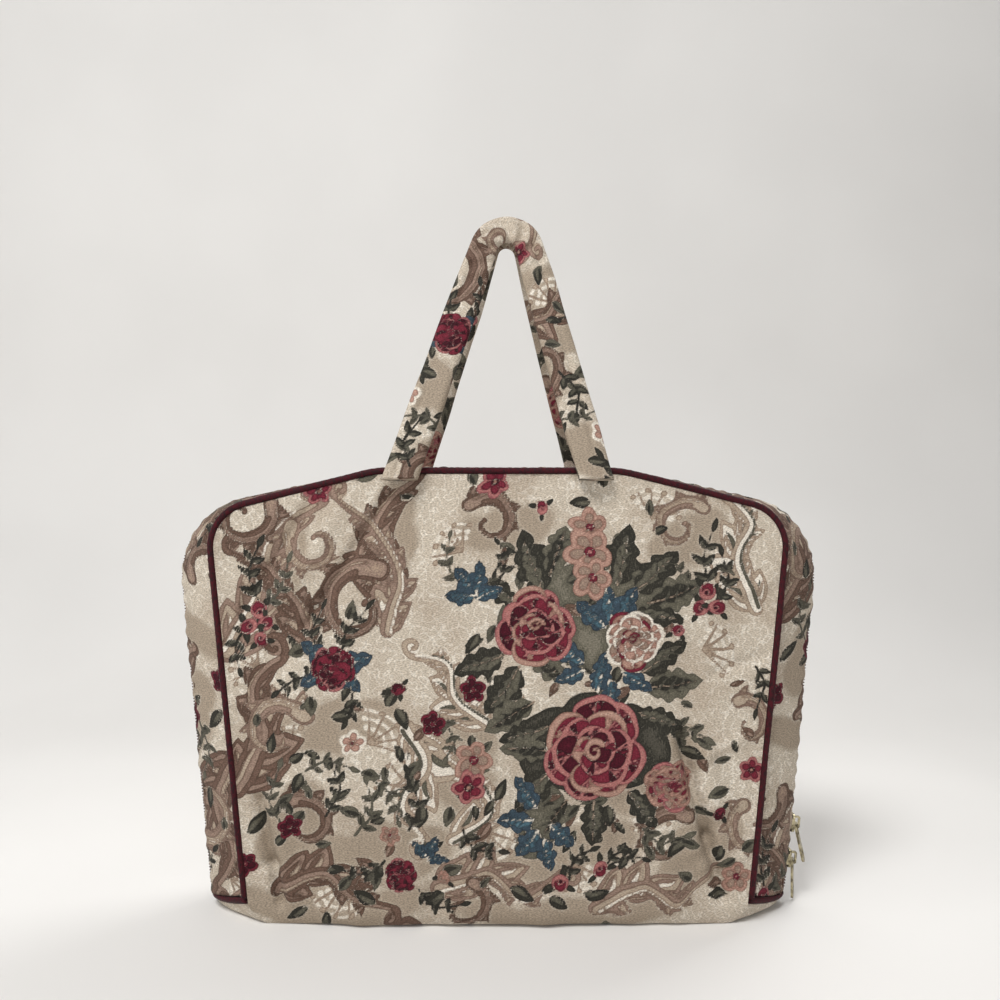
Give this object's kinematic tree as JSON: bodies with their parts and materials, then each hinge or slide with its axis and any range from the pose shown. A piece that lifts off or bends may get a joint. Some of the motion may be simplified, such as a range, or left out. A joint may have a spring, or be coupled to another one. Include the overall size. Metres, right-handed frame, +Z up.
{
  "type": "toiletry bag",
  "caption": "Soft zipped toiletry bag in floral tapestry cloth with piped seams, a zipped gusset over the sides and top, strap handles and brass zip pulls.",
  "frame": {"origin": "on the floor under the middle of the bag, at the bottom centre of its bounding box", "axes": "+Z up towards the handles, -Y out of the front face, +X towards the end where the zip pulls hang"},
  "size_m": [0.3916, 0.0854, 0.4251],
  "materials": {
    "tapestry": "woven",
    "piping": "woven",
    "zip_tape": "woven",
    "zip_teeth": "satin",
    "pull_metal": "aged"
  },
  "bodies": {
    "bag": {"body_panel": "tapestry", "front_gusset_strip": "tapestry", "rear_gusset_strip": "tapestry", "front_zip_tape": "zip_tape", "rear_zip_tape": "zip_tape", "front_zip_teeth": "zip_teeth", "rear_zip_teeth": "zip_teeth", "front_piping": "piping", "rear_piping": "piping", "left_end_binding": "piping", "right_end_binding": "piping", "front_handle": "tapestry", "rear_handle": "tapestry"},
    "upper_slider": {"upper_slider": "pull_metal"},
    "lower_slider": {"lower_slider": "pull_metal"},
    "upper_pull": {"upper_pull": "pull_metal"},
    "lower_pull": {"lower_pull": "pull_metal"}
  },
  "joints": [
    {"name": "upper_slider_slide", "type": "slide", "parent": "bag", "child": "upper_slider", "axis": [0.0948, 0, 0.9955], "range_m": [0, 0.138]},
    {"name": "lower_slider_slide", "type": "slide", "parent": "bag", "child": "lower_slider", "axis": [0.0948, 0, 0.9955], "range_m": [0, 0.004]},
    {"name": "upper_pull_hinge", "type": "hinge", "parent": "upper_slider", "child": "upper_pull", "pos_m": [0.18504, 0, 0.04708], "axis": [-0.3657, -0.9272, -0.0811], "range_deg": [0, 140]},
    {"name": "lower_pull_hinge", "type": "hinge", "parent": "lower_slider", "child": "lower_pull", "pos_m": [0.18295, 0, 0.02518], "axis": [-0.3746, -0.9272, 0], "range_deg": [0, 30]}
  ]
}
